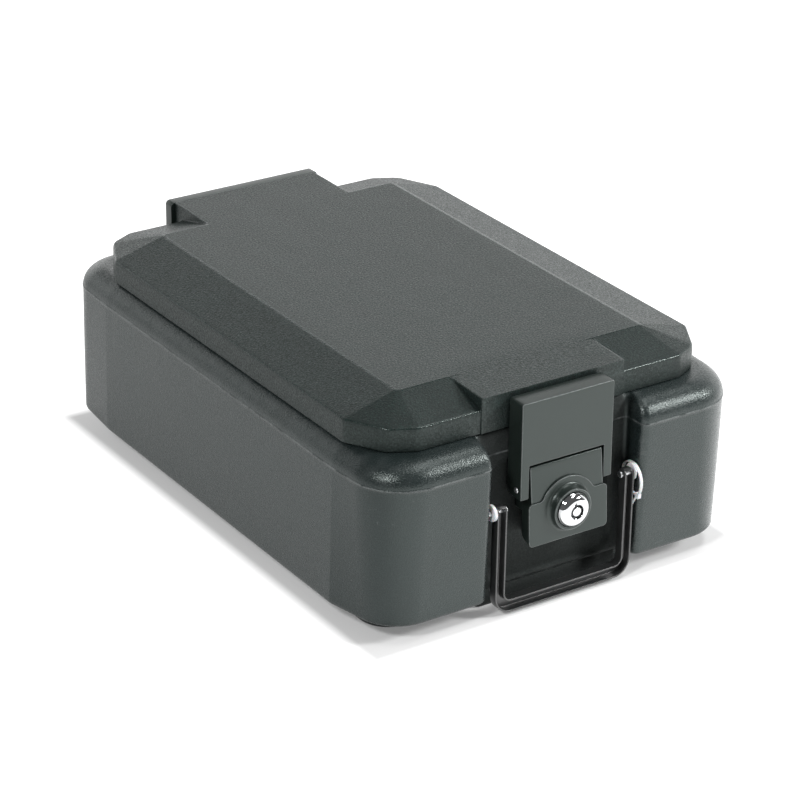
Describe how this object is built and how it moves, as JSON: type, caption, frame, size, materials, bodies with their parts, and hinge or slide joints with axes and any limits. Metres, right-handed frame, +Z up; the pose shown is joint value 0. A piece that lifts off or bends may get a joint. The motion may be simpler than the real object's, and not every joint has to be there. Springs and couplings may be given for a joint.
{
  "type": "fire-resistant document box",
  "caption": "Portable fire-resistant document box with a hinged bevelled lid, a front latch lever over a round-key lock and a hanging bail handle.",
  "frame": {"origin": "centre of the underside of the base, on the floor", "axes": "+X along the front to the viewer's right, +Y from the latch side to the hinge side, +Z up"},
  "size_m": [0.295, 0.4274, 0.154],
  "materials": {
    "lid_plastic": "matt pebble-grained dark grey-green moulding",
    "base_plastic": "satin dark grey moulding with a faint grain",
    "fill": "cast mineral insulation, pale and porous, never seen",
    "seal_rubber": "matt black foam rubber",
    "plug_plastic": "smooth dark plastic",
    "latch_plastic": "smooth satin dark grey plastic",
    "black_paint": "gloss black enamel on folded steel",
    "steel": "bright zinc-plated steel",
    "chrome": "polished chrome",
    "nylon": "milky natural nylon"
  },
  "bodies": {
    "base": {"base_shell": "base_plastic", "base_fill": "fill", "base_fill_plug": "plug_plastic", "lid_seal": "seal_rubber", "hinge_bracket": "latch_plastic", "lock_housing": "latch_plastic", "lock_cover": "latch_plastic", "hinge_rod": "steel", "latch_pin": "steel", "lock_nut": "steel", "bail_pin_left": "steel", "bail_pin_right": "steel", "bracket_screw_1": "steel", "bracket_screw_2": "steel", "bracket_screw_3": "steel", "bracket_screw_4": "steel", "housing_screw_1": "steel", "housing_screw_2": "steel", "housing_screw_3": "steel", "housing_screw_4": "steel", "lock_body": "chrome", "bail_washer_left": "chrome", "bail_washer_right": "chrome", "cable_tie": "nylon"},
    "lid": {"lid_shell": "lid_plastic", "lid_fill": "fill", "lid_fill_plug": "plug_plastic", "hinge_plate": "latch_plastic", "leaf_screw_1": "steel", "leaf_screw_2": "steel", "leaf_screw_3": "steel", "leaf_screw_4": "steel"},
    "latch": {"latch_lever": "latch_plastic"},
    "lock": {"lock_plug": "chrome", "lock_cam": "steel", "cam_screw": "steel"},
    "bail": {"bail_handle": "black_paint"}
  },
  "joints": [
    {"name": "lid_hinge", "type": "hinge", "parent": "base", "child": "lid", "pos_m": [0, 0.2057, 0.118], "axis": [-1, 0, 0], "range_deg": [0, 95]},
    {"name": "latch_pivot", "type": "hinge", "parent": "base", "child": "latch", "pos_m": [0, -0.1988, 0.087], "axis": [1, 0, 0], "range_deg": [0, 90]},
    {"name": "lock_turn", "type": "hinge", "parent": "base", "child": "lock", "pos_m": [0, -0.2, 0.0692], "axis": [0, 1, 0], "range_deg": [0, 90]},
    {"name": "bail_pivot", "type": "hinge", "parent": "base", "child": "bail", "pos_m": [0, -0.2012, 0.0772], "axis": [-1, 0, 0], "range_deg": [0, 170]}
  ]
}
